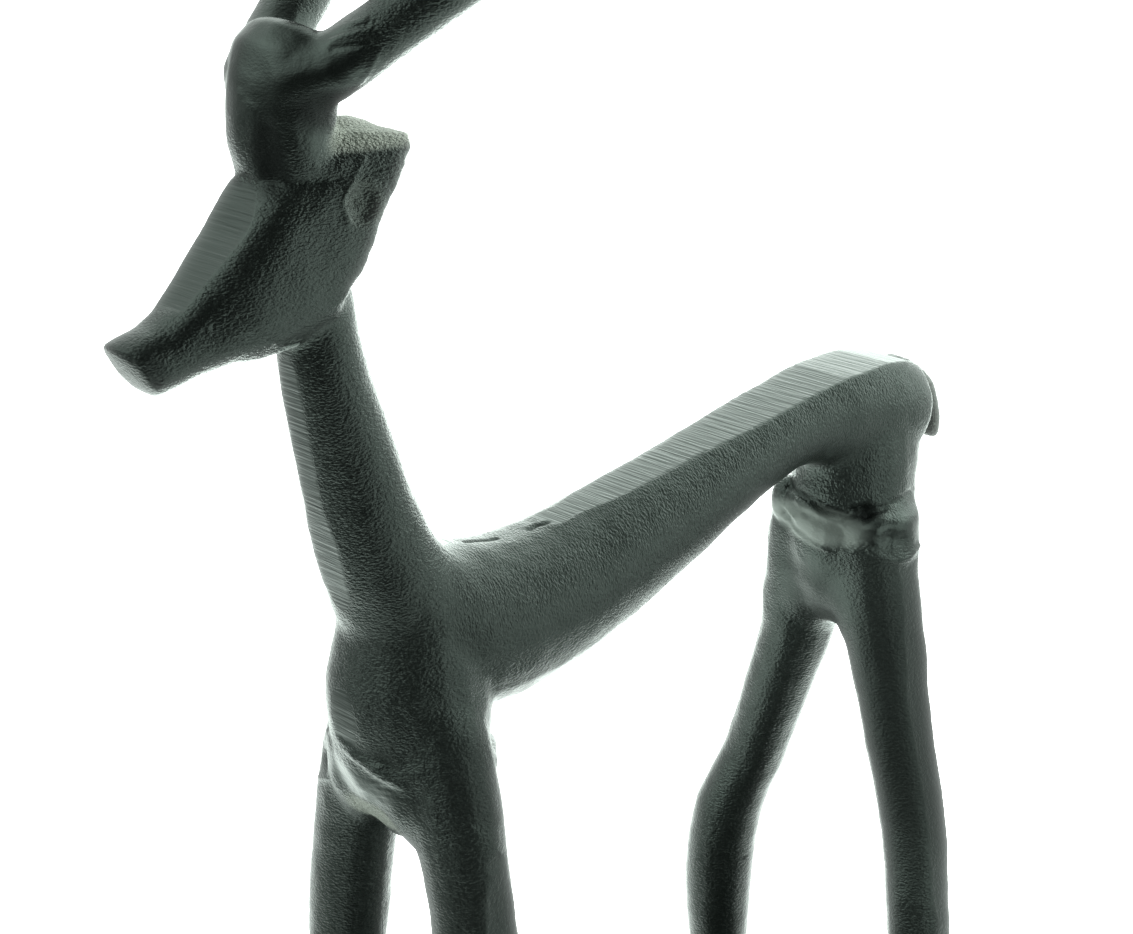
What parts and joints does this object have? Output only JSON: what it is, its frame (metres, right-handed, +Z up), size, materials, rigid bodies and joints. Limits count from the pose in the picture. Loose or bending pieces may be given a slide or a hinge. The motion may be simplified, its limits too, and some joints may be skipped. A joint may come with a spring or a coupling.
{
  "type": "cast iron stag statue",
  "caption": "Slender standing stag cast in iron, with a long neck, splayed legs, ground seams and branching antlers, on a low rectangular base.",
  "frame": {"origin": "centre of the overall length and width, on the underside of the base", "axes": "+Z up, the stag looks along -X and its left side is -Y"},
  "size_m": [0.1801, 0.084, 0.2917],
  "materials": {
    "cast_iron": "dark satin cast iron with sand grain, ground seams and smooth weld metal",
    "base_iron": "dark satin cast iron with sand grain"
  },
  "bodies": {
    "root": {"stag": "cast_iron", "base": "base_iron"}
  },
  "joints": []
}
